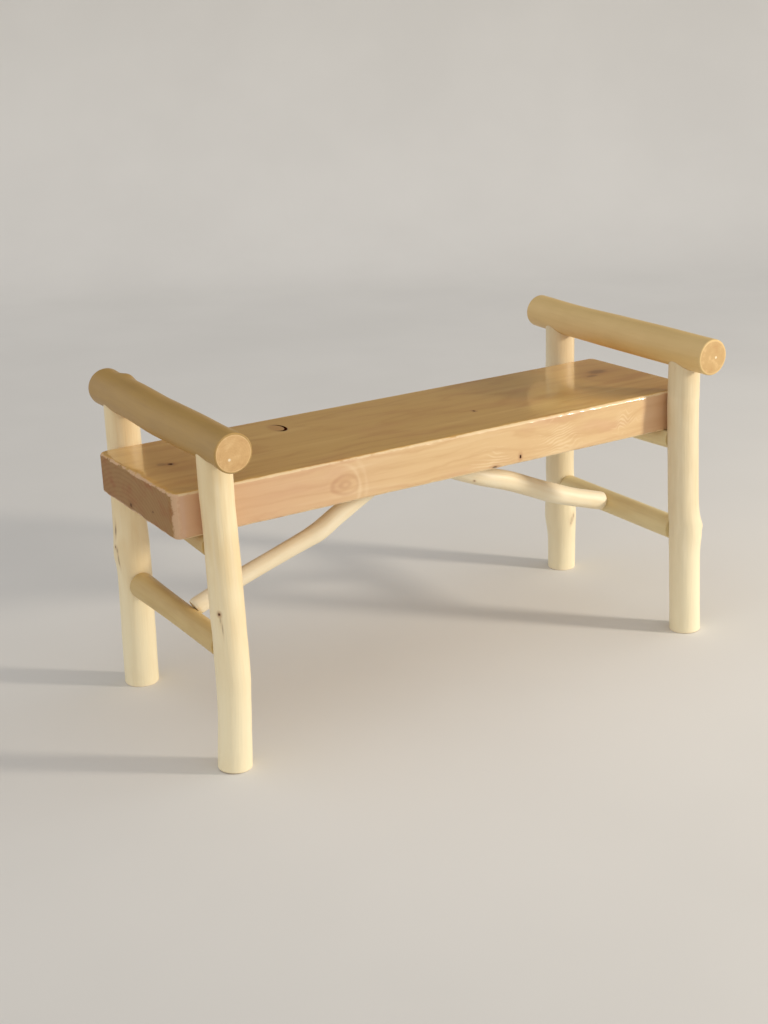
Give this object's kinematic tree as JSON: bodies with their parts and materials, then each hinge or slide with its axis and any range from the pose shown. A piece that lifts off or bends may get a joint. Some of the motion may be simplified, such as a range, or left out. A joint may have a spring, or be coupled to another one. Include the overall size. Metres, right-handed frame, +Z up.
{
  "type": "bench",
  "caption": "Rustic bench: a thick plank seat held between two peeled-log end frames with hand rails, and braced from below by crooked branches.",
  "frame": {"origin": "on the floor, under the middle of the bench", "axes": "+X along the bench to the sitter's left, +Y from the front to the back, +Z up"},
  "size_m": [1.059, 0.5, 0.5736],
  "materials": {
    "plank": "satin",
    "peeled_logs": "satin",
    "screws": "zinc plated"
  },
  "bodies": {
    "root": {"seat_plank": "plank", "front_left_leg": "peeled_logs", "back_left_leg": "peeled_logs", "front_right_leg": "peeled_logs", "back_right_leg": "peeled_logs", "left_top_rail": "peeled_logs", "right_top_rail": "peeled_logs", "left_seat_bearer": "peeled_logs", "right_seat_bearer": "peeled_logs", "left_rung": "peeled_logs", "right_rung": "peeled_logs", "left_brace": "peeled_logs", "right_brace": "peeled_logs", "seat_screws": "screws", "brace_head_screws": "screws", "brace_foot_screws": "screws"}
  },
  "joints": []
}
